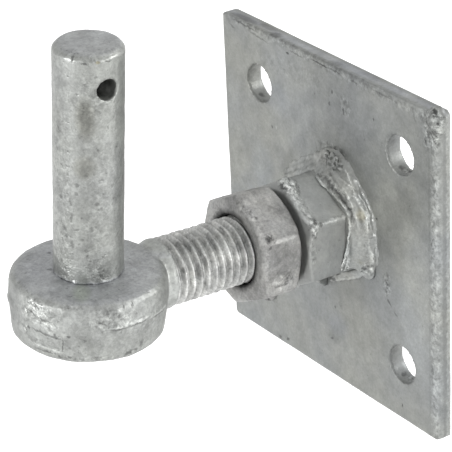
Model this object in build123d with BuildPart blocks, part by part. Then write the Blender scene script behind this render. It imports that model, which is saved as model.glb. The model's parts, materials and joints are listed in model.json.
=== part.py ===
from build123d import *
import os
from math import cos, radians, sin, sqrt, tan

# Adjustable hinge hook on a plate, hot-dip galvanised. A square plate bolts to a gate post. A nut
# welded to it takes the threaded shank of a forged eye, a second nut locks the shank, and the
# round pin standing in the eye carries the gate's hinge band.
# Millimetres. The origin is the centre of the plate's back face. X points out of the plate, Y to
# the right as the hook faces the viewer, and Z up.

# Plate, cut from flat bar: rolled edges left and right, sheared edges above and below
plate_width = 100.0
plate_height = 100.0
plate_thickness = 5.0
rolled_edge_radius = 1.9
sheared_corner_radius = 2.0
fixing_hole_dia = 11.5
fixing_hole_spacing = 65.0
fixing_holes_right = 1.0
fixing_holes_up = 0.5

# Screw, with the small angles that it stands at on this piece, in degrees
thread_dia = 20.0
weld_lean = 2.7
hook_turn = -3.0
shank_hole_clearance = 1.5
nut_bore_clearance = 0.1

# Nuts
nut_across_flats = 30.0
nut_face_dia = 28.4
nut_chamfer_angle = 30.0
nut_turning_reach = 1.0
nut_mouth_chamfer = 0.65
weld_nut_height = 17.0
weld_root_gap = 0.1
lock_nut_height = 13.2
lock_nut_gap = 2.0
lock_nut_turn = -4.0

# Weld: a bead on either side of the nut, each of three runs that lie on one another from the plate
# up to the nut's flats. The right bead stops in a lump above and in a small one below. Each border
# between two runs, and each corner of a lump's outline, has its height off the plate and its radius
# round the beads' or the lump's middle. Angles are counted from the right upwards, in degrees
bead_right = 0.4
bead_up = 0.3
bead_starts = (-24.0, 150.0)
bead_arc = 116.0
bead_borders = ((0.0, 21.5), (1.7, 20.2), (3.3, 18.3), (4.8, 16.0))
bead_run_bulge = 0.5
bead_stop_borders = ((0.0, 10.6), (1.3, 9.6), (2.6, 5.3))
bead_stops = (
    (5.0, 13.4, 1.0),
    (18.4, -7.2, 0.35),
)

# Shank, measured along the screw from the plate's back face
shank_end = 5.0
shank_end_chamfer = 1.5
neck_start = 64.0
neck_end = 69.0
neck_dia = 16.4

# Eye, its top rim eased in a few flats that follow a round edge
eye_standoff = 85.7
eye_dia = 43.4
eye_height = 17.8
eye_drop = 0.6
eye_draft = 5.0
eye_top_radius = 3.0
eye_top_flats = 3
eye_foot_chamfer = 1.2
parting_up = 1.4

# Trimmed flash and hammer flats on the eye's side, placed by the angle round the eye in degrees,
# counted from straight out towards the right
flash_start = 58.0
flash_arc = 64.0
flash_width = 1.6
flash_height = 0.4
hammer_flats = (
    (9.0, 0.55, -1.6, 8.6),
    (20.0, 0.75, -0.6, 11.0),
    (31.0, 0.5, 0.2, 9.4),
)

# Pin
pin_dia = 19.0
pin_rise = 65.7
pin_chamfer = 1.4
split_pin_hole_dia = 5.8
split_pin_hole_below_top = 10.0
spigot_dia = 16.0
rivet_flare = 0.7
rivet_depth = 0.7

# Directions: the screw leans up out of the plate, and the hook is turned a little round it
origin = Vector(0, 0, 0)
screw_direction = Vector(cos(radians(weld_lean)), 0, sin(radians(weld_lean)))
screw_axis = Axis(origin, screw_direction)
hook_right = Vector(0, 1, 0).rotate(screw_axis, hook_turn)
across_screw = Plane(origin, x_dir=(0, 1, 0), z_dir=screw_direction)
along_screw = Plane(origin, x_dir=screw_direction, z_dir=(0, -1, 0))
along_hook = Plane(origin, x_dir=screw_direction, z_dir=-hook_right)
eye_centre = screw_direction * eye_standoff
eye_side = Plane(eye_centre, x_dir=screw_direction, z_dir=-hook_right)
pin_axis = Axis(eye_centre, eye_side.y_dir)

# Sizes worked out from those above
thread_radius = thread_dia / 2
nut_bore_radius = thread_radius + nut_bore_clearance
nut_corner_radius = nut_across_flats / sqrt(3)
weld_nut_foot = plate_thickness + weld_root_gap + nut_corner_radius * sin(radians(weld_lean))
weld_nut_face = weld_nut_foot + weld_nut_height
lock_nut_back = weld_nut_face + lock_nut_gap
eye_top = eye_height / 2 - eye_drop
eye_bottom = eye_top - eye_height
pin_top = eye_top + pin_rise
pin_radius = pin_dia / 2
spigot_radius = spigot_dia / 2


def save(builder, name):
    """Labels a finished piece and writes it to its own file."""
    builder.part.label = name
    export_step(builder.part, f"parts/{name}.step")


def back_plate():
    """Flat bar cut to length, with four fixing holes and a hole that clears the shank."""
    with BuildPart() as plate:
        with BuildSketch(Plane.XY.offset(-plate_height / 2)):
            with Locations((plate_thickness / 2, 0)):
                RectangleRounded(plate_thickness, plate_width, rolled_edge_radius)
        extrude(amount=plate_height)
        with BuildSketch(Plane.YZ):
            RectangleRounded(plate_width, plate_height, sheared_corner_radius)
            Circle(thread_radius + shank_hole_clearance, mode=Mode.SUBTRACT)
            with Locations((fixing_holes_right, fixing_holes_up)):
                with GridLocations(fixing_hole_spacing, fixing_hole_spacing, 2, 2):
                    Circle(fixing_hole_dia / 2, mode=Mode.SUBTRACT)
        extrude(amount=plate_thickness, mode=Mode.INTERSECT)
    return plate


def nut(back, height, turn, back_chamfered):
    """A hexagon nut on the screw: a prism turned down to its chamfers, bore and mouths."""
    front = back + height
    face_radius = nut_face_dia / 2
    reach = nut_corner_radius + nut_turning_reach
    slope = (reach - face_radius) * tan(radians(nut_chamfer_angle))
    back_points = [(back + slope, reach), (back, face_radius)] if back_chamfered else [(back, reach)]
    profile = [
        (back, nut_bore_radius + nut_mouth_chamfer),
        (back + nut_mouth_chamfer, nut_bore_radius),
        (front - nut_mouth_chamfer, nut_bore_radius),
        (front, nut_bore_radius + nut_mouth_chamfer),
        (front, face_radius),
        (front - slope, reach),
        *back_points,
    ]
    with BuildPart() as hexagon_nut:
        with BuildSketch(across_screw.offset(back)):
            RegularPolygon(nut_across_flats / 2, 6, major_radius=False, rotation=30 + turn)
        extrude(amount=height)
        with BuildSketch(along_screw):
            Polygon(*profile, align=None)
        revolve(axis=screw_axis, mode=Mode.INTERSECT)
    return hexagon_nut


def plate_normal(right, up, angle=0):
    """A plane through a normal of the plate, drawn on with x out from the plate and y at an angle."""
    return Plane((0, right, up), x_dir=(1, 0, 0), z_dir=(0, -sin(radians(angle)), cos(radians(angle))))


def off_plate(borders, size=1):
    """Half section points from heights off the plate and the radii there."""
    return [(plate_thickness + size * height, size * radius) for height, radius in borders]


def run_ridge(lower, upper):
    """Where a weld run stands proudest: off the middle of the line between its two borders."""
    across = Vector(*upper) - Vector(*lower)
    outward = Vector(-across.Y, across.X).normalized()
    return (Vector(*lower) + Vector(*upper)) / 2 + outward * bead_run_bulge


def nut_weld():
    """The weld at the nut's foot: a bead of ridged runs on either side, and the lumps it stops in."""
    borders = off_plate(bead_borders)
    outline = [borders[0]]
    for lower, upper in zip(borders, borders[1:]):
        outline += [run_ridge(lower, upper), upper]
    with BuildPart() as beads:
        for start in bead_starts:
            middle = plate_normal(bead_right, bead_up, start)
            with BuildSketch(middle):
                Polygon(*outline, (outline[-1][0], 0), (plate_thickness, 0), align=None)
            revolve(axis=Axis(middle.origin, middle.x_dir), revolution_arc=bead_arc)
        for right, up, size in bead_stops:
            lump = off_plate(bead_stop_borders, size)
            stop = plate_normal(right, up)
            with BuildSketch(stop):
                Polygon(*lump, (lump[-1][0], 0), (plate_thickness, 0), align=None)
            revolve(axis=Axis(stop.origin, stop.x_dir))
        with BuildSketch(across_screw):
            RegularPolygon(nut_across_flats / 2, 6, major_radius=False, rotation=30)
        extrude(amount=weld_nut_face, mode=Mode.SUBTRACT)
    return beads


def round_eye(angle):
    """A plane through the pin's axis, drawn on with x out from the axis at an angle and y up."""
    outward = screw_direction.rotate(Axis(origin, pin_axis.direction), angle)
    return Plane(eye_centre, x_dir=outward, z_dir=outward.cross(pin_axis.direction))


def forged_eye():
    """The eye: a boss with both dies' draft, eased rims, a line of flash and hammer flats."""
    rim = eye_dia / 2
    slope = tan(radians(eye_draft))
    bottom_rim = rim - (parting_up - eye_bottom) * slope
    easing_start = eye_top - eye_top_radius
    easing_centre = rim - (easing_start - parting_up) * slope - eye_top_radius
    easing_angles = [radians(90) * step / eye_top_flats for step in range(eye_top_flats + 1)]
    eased_rim = [(easing_centre + eye_top_radius * cos(angle), easing_start + eye_top_radius * sin(angle))
                 for angle in easing_angles]
    with BuildPart() as eye:
        with BuildSketch(round_eye(0)):
            Polygon((0, eye_bottom), (bottom_rim - eye_foot_chamfer, eye_bottom),
                    (bottom_rim, eye_bottom + eye_foot_chamfer), (rim, parting_up), *eased_rim,
                    (0, eye_top), align=None)
        revolve(axis=pin_axis)
        with BuildSketch(round_eye(flash_start)):
            Polygon((rim - flash_height, parting_up - flash_width / 2), (rim + flash_height, parting_up),
                    (rim - flash_height, parting_up + flash_width / 2), align=None)
        revolve(axis=pin_axis, revolution_arc=flash_arc)
        for angle, depth, middle, height in hammer_flats:
            side = round_eye(angle)
            with BuildSketch(Plane(side.from_local_coords((rim - depth, middle, 0)), x_dir=side.z_dir,
                                   z_dir=side.x_dir)):
                Rectangle(eye_dia / 2, height)
            extrude(amount=depth + flash_height, mode=Mode.SUBTRACT)
    return eye


def spigot_outline():
    """The spigot's half section, from the riveted flare at the eye's foot up to the pin's shoulder."""
    return [(spigot_radius + rivet_flare, eye_bottom), (spigot_radius, eye_bottom + rivet_depth),
            (spigot_radius, eye_top)]


def eye_bolt():
    """The forged eye and its shank, in one piece, with the pin's riveted seat through the eye."""
    eye = forged_eye()
    neck_radius = neck_dia / 2
    with BuildPart() as bolt:
        add(eye.part)
        with BuildSketch(along_hook):
            Polygon((eye_standoff, 0), (shank_end, 0), (shank_end, thread_radius - shank_end_chamfer),
                    (shank_end + shank_end_chamfer, thread_radius), (neck_start, thread_radius),
                    (neck_end, neck_radius), (eye_standoff, neck_radius), align=None)
        revolve(axis=screw_axis)
        with BuildSketch(round_eye(0)):
            Polygon((0, eye_bottom), *spigot_outline(), (0, eye_top), align=None)
        revolve(axis=pin_axis, mode=Mode.SUBTRACT)
    return bolt


def hinge_pin():
    """The round pin, its spigot riveted into the eye, with a split pin's hole across it near the top."""
    with BuildPart() as pin:
        with BuildSketch(round_eye(0)):
            Polygon((0, eye_bottom), *spigot_outline(), (pin_radius, eye_top),
                    (pin_radius, pin_top - pin_chamfer), (pin_radius - pin_chamfer, pin_top), (0, pin_top),
                    align=None)
        revolve(axis=pin_axis)
        hole_centre = eye_centre + pin_axis.direction * (pin_top - split_pin_hole_below_top)
        with BuildSketch(Plane(hole_centre, z_dir=hook_right)):
            Circle(split_pin_hole_dia / 2)
        extrude(amount=pin_dia, both=True, mode=Mode.SUBTRACT)
    return pin


os.makedirs("parts", exist_ok=True)
save(back_plate(), "back_plate")
save(nut(weld_nut_foot, weld_nut_height, 0, back_chamfered=False), "weld_nut")
save(nut_weld(), "nut_weld")
save(nut(lock_nut_back, lock_nut_height, lock_nut_turn, back_chamfered=True), "lock_nut")
save(eye_bolt(), "eye_bolt")
save(hinge_pin(), "hinge_pin")
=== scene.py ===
import bpy
import json
from math import atan2, cos, pi, radians, sin
from mathutils import Matrix, Vector


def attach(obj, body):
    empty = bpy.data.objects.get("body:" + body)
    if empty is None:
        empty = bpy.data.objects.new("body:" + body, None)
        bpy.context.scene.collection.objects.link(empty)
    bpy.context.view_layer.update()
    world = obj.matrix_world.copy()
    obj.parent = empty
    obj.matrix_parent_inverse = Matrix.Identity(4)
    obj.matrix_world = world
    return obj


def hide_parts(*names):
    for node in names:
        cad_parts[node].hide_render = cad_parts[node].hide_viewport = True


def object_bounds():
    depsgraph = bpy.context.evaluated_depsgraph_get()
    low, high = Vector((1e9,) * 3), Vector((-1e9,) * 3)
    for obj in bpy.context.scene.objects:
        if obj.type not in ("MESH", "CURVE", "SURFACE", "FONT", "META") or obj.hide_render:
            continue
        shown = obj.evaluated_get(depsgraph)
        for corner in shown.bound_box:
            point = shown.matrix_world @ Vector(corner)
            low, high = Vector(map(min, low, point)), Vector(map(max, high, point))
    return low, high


# Adjustable hinge hook on a plate, hot-dip galvanised. Metres, in the frame of the solids: the
# origin is the centre of the plate's back face, X comes out of the plate and Z points up.

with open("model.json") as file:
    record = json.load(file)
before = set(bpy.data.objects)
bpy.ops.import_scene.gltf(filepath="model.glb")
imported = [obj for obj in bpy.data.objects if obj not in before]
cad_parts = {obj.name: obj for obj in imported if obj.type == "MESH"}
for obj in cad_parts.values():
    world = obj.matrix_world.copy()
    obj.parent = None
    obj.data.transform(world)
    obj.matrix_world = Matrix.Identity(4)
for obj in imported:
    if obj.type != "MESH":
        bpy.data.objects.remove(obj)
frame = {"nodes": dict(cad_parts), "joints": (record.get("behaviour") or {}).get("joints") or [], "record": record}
solid_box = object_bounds()

mm = 0.001

# Places, read from the frame
mounts = {mount["name"]: mount for mount in frame["record"]["mounts"]}
screw_direction = Vector(frame["joints"][0]["axis"]).normalized()
pin_up = Vector(mounts["gate_pin"]["axis"]).normalized()
hook_right = Vector(mounts["split_pin_hole"]["axis"]).normalized()
pin_point = Vector(mounts["gate_pin"]["pos_m"])
eye_centre = screw_direction * pin_point.dot(screw_direction)

# Heights over the eye's middle and radii round the pin's axis, and how far out of the plate's back
# its face lies and how far to the right its side, in millimetres
eye_top = 8.3
pin_top = 74.0
cross_hole_height = 64.0
pin_radius = 9.5
eye_radius = 21.6
plate_face = 5
plate_side = 50

# Thread of the shank, rounded by its zinc. The plain neck behind it belongs to the eye
thread_pitch = 2.5 * mm
thread_crest = 9.85 * mm
thread_root = 8.5 * mm
thread_steps = 72
shank_end = 5.0 * mm
thread_end = 63.4 * mm
neck_start = 62.7 * mm

# Size of the steps that the dipped pieces are remeshed in, and how near points have to be to merge
fine_step = 0.32 * mm
pin_step = 0.4 * mm
plate_step = 0.52 * mm
merge_reach = 0.001 * mm

# Fixing holes of the plate, by their middles, their radius and the lip of zinc round each, in
# millimetres
fixing_holes = ((33.5, 33.0), (-31.5, 33.0), (33.5, -32.0), (-31.5, -32.0))
hole_radius = 5.75
lip_radius = 6.0
lip_height = 4.95
lip_thickness = 0.3

# Lines of filler in the weld, each with its thickness, the shade of the highlight painted on its crest,
# where 1 paints none, and its points to the right, up and out of the plate, in millimetres
weld_lines = (
    (0.65, 1.5, ((9.6, 20.4, 4.8), (14.1, 16.2, 4.8), (17.8, 12.3, 4.8), (19.8, 9.5, 4.8),
                 (20.5, 6.6, 4.8), (21.1, 2.3, 4.8), (21.6, -1.9, 4.8), (21.4, -5.4, 4.8))),
    (1.15, 1.15, ((7.7, 18.8, 6.3), (13.2, 15.5, 6.3), (16.3, 12.2, 6.3), (18.2, 8.0, 6.3),
                  (18.9, 3.4, 6.2), (19.3, -1.5, 6.0), (18.7, -5.5, 5.8))),
    (0.6, 1.3, ((6.5, 17.8, 7.7), (11.0, 15.0, 7.7), (14.9, 12.2, 7.7), (16.7, 9.0, 7.8),
                (17.2, 5.6, 7.8), (16.0, -0.9, 7.4), (14.0, -6.2, 7.0))),
    (0.7, 1.5, ((1.4, 17.2, 9.2), (5.7, 15.3, 9.2), (10.3, 13.6, 9.3), (13.9, 12.2, 9.4),
                (16.0, 10.2, 9.3), (16.5, 6.9, 9.2), (16.3, 3.4, 9.0), (15.4, -0.4, 8.6),
                (15.2, -4.3, 8.0), (14.6, -8.0, 7.0))),
    (0.9, 1.15, ((1.4, -18.0, 4.7), (6.8, -15.4, 4.8), (12.4, -12.7, 4.8), (17.4, -9.4, 4.8),
                 (20.4, -7.0, 4.7))),
    (1.5, 1, ((-15.4, 9.2, 6.5), (-11.4, 11.5, 6.5), (-7.4, 13.8, 6.6), (-3.4, 16.1, 6.7),
              (0.4, 17.9, 6.8))),
    (1.7, 1, ((-16.0, 10.6, 5.0), (-12.2, 12.9, 5.0), (-8.2, 15.2, 5.1), (-4.2, 17.5, 5.2),
              (0.2, 19.6, 5.3))),
    (1.4, 1, ((-16.2, 12.4, 4.3), (-12.9, 14.4, 4.3), (-8.9, 16.7, 4.3), (-4.9, 19.0, 4.4),
              (-0.6, 21.0, 4.5))),
    (1.6, 1, ((-4.5, 18.6, 4.6), (-1.5, 20.8, 4.8), (1.5, 22.6, 4.7), (4.6, 23.8, 4.4))),
    (1.3, 1, ((6.0, 23.6, 4.3), (10.6, 21.6, 4.3), (15.2, 17.2, 4.3), (18.9, 13.1, 4.3),
              (20.9, 10.1, 4.3), (21.7, 6.6, 4.3), (22.3, 2.3, 4.3), (22.7, -1.9, 4.3),
              (22.4, -5.4, 4.3))),
    (1.5, 1, ((8.0, -12.8, 4.7), (12.6, -10.8, 4.9), (16.8, -8.4, 5.0))),
    (1.2, 1, ((2.5, -16.2, 4.5), (7.2, -14.0, 4.6))),
    (0.8, 1.6, ((3.0, 17.0, 10.0), (4.6, 16.2, 10.1), (6.0, 15.4, 10.0))),
    (0.45, 1.7, ((16.2, 2.4, 9.4), (15.7, -1.4, 10.2), (15.4, -4.2, 10.9), (15.2, -6.0, 11.4),
                 (15.0, -7.4, 11.7))),
    (0.4, 1.7, ((16.4, -0.6, 9.2), (15.7, -3.8, 10.0), (15.3, -6.0, 10.4), (15.0, -7.8, 10.5))),
    (0.4, 1.5, ((16.6, -3.0, 8.6), (15.8, -5.6, 9.0), (15.1, -8.0, 9.2))),
)

# How the weld's solid is melted before its lines are laid: rounds of smoothing, and its swelling
melt_rounds = 7
weld_swelling = 0.25 * mm

# Where small drops crowd: the middle to the right, up and out, the spread and the count. They are
# wound out in a spiral by an angle in radians from one drop to the next
plate_corner = (48.2, 47.8, 4.9, 3.0, 18)
weld_crown = (5.6, 21.4, 7.2, 3.6, 14)
spiral_turn = 2.4

# Drops of zinc, which are modelled. Those on the weld and the plate have their place to the right,
# up and out of the plate, and their half size
weld_drops = (
    (3.6, 23.6, 5.4, 0.75), (-0.4, 21.6, 5.3, 0.6), (9.8, 22.2, 5.4, 0.7), (7.0, 22.6, 5.6, 0.9),
    (20.6, -6.6, 5.4, 1.0), (21.8, -6.0, 5.1, 0.5), (19.3, -6.0, 6.0, 0.8),
)
plate_drops = (
    (27.1, -7.6, 5.0, 0.6), (27.3, -9.4, 5.0, 0.5), (5.2, -24.6, 4.9, 0.9), (48.2, 50.2, 3.4, 2.1),
    (49.8, 48.8, 3.4, 2.0), (49.8, 46.0, 3.6, 1.6), (46.2, 50.0, 3.8, 1.4), (48.2, 48.4, 4.6, 2.6),
    (48.6, 46.0, 4.8, 2.0), (46.4, 48.4, 4.7, 1.5), (48.5, 43.8, 4.6, 1.3), (48.7, 41.8, 4.4, 1.0),
    (46.6, 45.8, 4.9, 0.9), (44.2, 49.0, 4.6, 1.0), (47.6, 47.4, 5.6, 0.8), (49.6, 47.2, 3.2, 1.3),
    (47.6, 49.9, 3.0, 1.3), (49.2, 49.6, 3.4, 1.6), (46.0, 49.9, 4.0, 0.9), (-24.8, 21.4, 4.9, 0.5),
    (19.8, 1.4, 5.1, 0.4),
)

# Drops on the nuts: angle round the screw from the right upwards, distance along it, radius and half
# size
weld_nut_drops = (
    (96, 20.6, 16.0, 0.9), (91, 19.6, 16.9, 1.0), (86, 20.8, 16.0, 1.1), (80, 20.2, 15.7, 1.3),
    (84, 18.4, 16.5, 0.8), (75, 20.9, 15.0, 1.0), (70, 21.0, 15.2, 0.6), (62, 21.0, 15.0, 0.5),
    (54, 21.2, 15.0, 0.4), (43, 20.6, 15.9, 0.5), (34, 20.2, 16.6, 0.5), (28, 20.4, 16.6, 0.6),
    (22, 20.8, 16.2, 0.4), (-18, 21.2, 15.4, 0.4), (-30, 20.4, 16.6, 0.5), (-60, 20.8, 15.2, 0.5),
    (76, 17.6, 15.1, 0.5), (79, 21.6, 15.2, 0.6),
)
lock_nut_drops = (
    (-52, 32.0, 16.0, 1.1), (-54, 33.0, 15.9, 0.8), (-57, 30.6, 15.9, 0.7), (27, 35.8, 16.2, 0.5),
    (24, 33.5, 16.9, 0.4), (25, 30.0, 16.9, 0.45), (86, 35.6, 15.6, 0.6), (-34, 35.6, 16.0, 0.6),
)

# Drops on the hook: angle round the pin, radius, height over the eye's middle, then half sizes round,
# up and out
pin_drops = (
    (-20, 9.4, 8.4, 1.6, 0.25, 0.2), (-8, 9.5, 8.3, 1.5, 0.25, 0.2), (8, 9.4, 8.4, 1.4, 0.25, 0.2),
    (26, 9.4, 8.4, 1.8, 0.25, 0.2), (36, 9.6, 8.5, 0.7, 0.5, 0.4), (48, 9.5, 8.4, 1.3, 0.25, 0.2),
    (68, 9.5, 8.4, 1.4, 0.25, 0.25), (82, 9.5, 8.5, 1.3, 0.3, 0.3), (94, 9.6, 8.4, 1.5, 0.3, 0.3),
    (108, 9.5, 8.4, 1.4, 0.3, 0.3), (150, 9.5, 8.4, 2.0, 0.35, 0.3), (180, 9.6, 8.4, 2.2, 0.35, 0.3),
    (210, 9.5, 8.4, 2.0, 0.3, 0.3), (240, 9.6, 8.4, 2.2, 0.3, 0.3), (270, 9.5, 8.4, 2.0, 0.3, 0.3),
    (300, 9.5, 8.4, 2.0, 0.35, 0.3),
)
eye_drops = (
    (56, 13.2, 8.05, 3.4, 0.5, 4.2), (48, 11.6, 8.1, 2.6, 0.55, 2.0), (62, 15.6, 7.9, 2.2, 0.45, 2.4),
    (38, 17.6, 7.9, 2.4, 0.3, 0.8), (22, 21.5, 3.4, 2.6, 1.6, 0.25), (33, 21.4, 0.8, 2.2, 1.1, 0.25),
    (12, 21.5, 4.9, 2.4, 1.1, 0.25), (7, 21.6, 1.8, 1.6, 1.8, 0.25), (74, 21.4, 5.6, 2.6, 1.2, 0.3),
    (3, 21.6, -3.0, 2.6, 1.2, 0.25), (115, 21.5, 3.6, 2.8, 1.4, 0.25), (-18, 21.6, 1.4, 3.2, 1.6, 0.3),
)

# Marks in the zinc, which are painted. A few are painted light instead, painted shade or painted
# highlights, noted where they stand. Each ends with its two half sizes, its tilt in degrees and its
# shade, where 1 is the zinc's own and less is darker. Those round the pin and the eye start with angle
# and height
pin_marks = (
    (53.0, 56.4, 3.4, 7.4, 4, (0.8, 0.79, 0.76)), (51.8, 42.6, 3.8, 4.2, 0, (0.84, 0.83, 0.8)),
    # (88.6, 63.6) is painted shade round the cross hole, and (40.0, 11.0) painted light over the pin's foot
    (88.6, 63.6, 4.6, 4.4, 0, 0.7), (40.0, 11.0, 16.0, 4.0, 0, 1.3), (48.0, 36.0, 4.0, 9.0, 0, 0.9),
    (53.5, 56.4, 2.1, 5.2, 4, 0.68), (53.0, 60.4, 1.6, 1.0, 0, 0.77), (51.8, 42.6, 1.7, 2.8, 0, 0.80),
    (40.7, 37.5, 0.7, 0.9, 0, 0.57), (9.5, 32.9, 0.7, 0.7, 0, 0.57), (28.6, 32.0, 0.5, 1.5, 8, 0.66),
    (77.2, 30.5, 0.8, 0.8, 0, 0.61), (30.3, 27.5, 0.5, 1.9, -6, 0.66), (16.7, 23.9, 0.7, 0.7, 0, 0.60),
    (20.8, 22.1, 0.6, 0.8, 0, 0.63), (31.9, 19.6, 0.5, 1.7, 0, 0.66), (62.7, 24.8, 0.7, 0.9, 0, 0.63),
    (70.6, 32.1, 0.8, 0.6, 0, 0.66), (20.4, 74.1, 1.9, 0.3, -3, 0.42), (36.0, 74.0, 1.1, 0.3, 4, 0.42),
    (31.6, 73.0, 0.3, 1.0, 0, 0.44), (51.2, 71.9, 1.3, 0.35, 0, 0.48), (89.5, 72.0, 1.2, 0.35, 0, 0.55),
    (71.9, 72.2, 0.9, 0.6, 0, (0.78, 0.72, 0.56)), (36.2, 61.5, 1.3, 1.3, 0, 0.77),
    (4.1, 53.0, 1.4, 3.4, 0, 0.80), (-4, 13.0, 3.4, 4.4, 0, 1.12), (80, 17.5, 3.2, 7.0, 0, 1.05),
    (-40, 40.0, 3.0, 9.0, 0, 0.84), (110, 30.0, 2.4, 12.0, 0, 0.87), (20, 47.0, 2.0, 7.0, 0, 0.92),
    # The last, long one is painted shade down the pin's left side
    (-32, 38.0, 3.6, 60.0, 0, 0.88),
)
eye_marks = (
    (21.0, 2.9, 6.6, 3.8, -24, 1.14), (39.4, -4.1, 0.3, 3.0, 0, 0.46), (42.5, -3.6, 1.2, 3.0, 0, 0.85),
    (9.3, -1.9, 0.6, 0.6, 0, 0.46), (33.4, -1.4, 0.5, 0.6, 0, 0.46), (43.8, -1.0, 0.6, 0.6, 0, 0.46),
    (83.9, 6.9, 0.35, 1.2, 8, 0.49), (91.2, 6.9, 0.35, 1.2, -4, 0.49), (73.4, 6.4, 2.8, 1.6, 0, 0.80),
    (36.9, -7.8, 0.8, 0.6, 0, 0.46), (44.2, -7.5, 0.8, 0.6, 0, 0.49), (95.2, -7.3, 0.8, 0.5, 0, 0.52),
    (89.9, -7.8, 0.7, 0.5, 0, 0.52), (25.5, -7.2, 4.8, 0.35, 2, 0.56), (4.2, 7.8, 0.9, 0.3, 0, 0.41),
    (9.8, 7.9, 0.8, 0.3, 0, 0.41), (28.1, 8.0, 1.0, 0.3, 0, 0.41), (94.6, 8.0, 1.0, 0.3, 0, 0.46),
    (109.6, 7.8, 1.0, 0.3, 0, 0.41), (67.5, 3.1, 2.0, 0.35, -38, 0.59), (79.0, 0.8, 2.6, 0.35, -2, 0.56),
    (95.0, 1.1, 3.8, 0.35, 3, 0.59), (118.0, 0.3, 5.4, 0.35, -4, 0.61), (57.0, -2.0, 3.4, 4.0, 0, 0.90),
    # (-12.0, -1.0) is painted shade on the eye's left side
    (-14.0, 0.0, 4.0, 5.0, 0, 0.85), (64.0, 4.0, 2.0, 2.0, 0, 1.06), (-12.0, -1.0, 6.0, 12.0, 0, 0.86),
    (27.0, 0.9, 7.4, 3.2, -12, 1.3), (26.0, -1.9, 7.4, 0.5, -3, 0.55), (21.0, 2.9, 6.0, 0.45, -14, 0.6),
    (11.0, 6.6, 1.3, 0.5, 30, 1.5), (18.0, 6.3, 2.6, 0.45, -6, 1.5), (26.0, -6.2, 9.0, 0.5, -2, 1.4),
    (95.0, 1.8, 4.4, 0.5, 3, 1.4), (118.0, 1.0, 6.0, 0.5, -4, 1.35), (79.0, 1.5, 3.2, 0.5, -2, 1.4),
    (88.0, -7.4, 2.0, 0.7, 30, 0.5), (100.0, -6.0, 0.8, 1.8, 0, 0.6),
)

# Marks on the tops, by the distance out and to the right of the pin's axis, with the height
tops_light_and_marks = (
    (4.5, -12.8, eye_top, 0.7, 0.7, 0, 0.55), (9.0, -4.6, eye_top, 0.8, 1.1, 20, 0.55),
    (8.8, 10.6, eye_top, 3.0, 6.0, -32, (0.96, 1.0, 0.9)), (4.0, 9.4, eye_top, 0.6, 2.0, 60, 0.8),
    (13.5, -8.0, eye_top, 0.4, 6.0, 28, 0.93), (-2.0, 15.0, eye_top, 0.5, 5.0, -70, 0.92),
    # The two broad marks over the whole eye top and pin top are painted light, brightening the tops with a lilac
    # tint
    (-12.0, 6.0, eye_top, 3.0, 5.0, 0, 0.95), (0.0, 0.0, eye_top, 30.0, 30.0, 0, (1.2, 1.2, 1.27)),
    (0.0, 0.0, pin_top, 15.0, 15.0, 0, (1.12, 1.12, 1.17)), (1.5, -3.0, pin_top, 0.5, 3.0, 50, 0.9),
)

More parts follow.
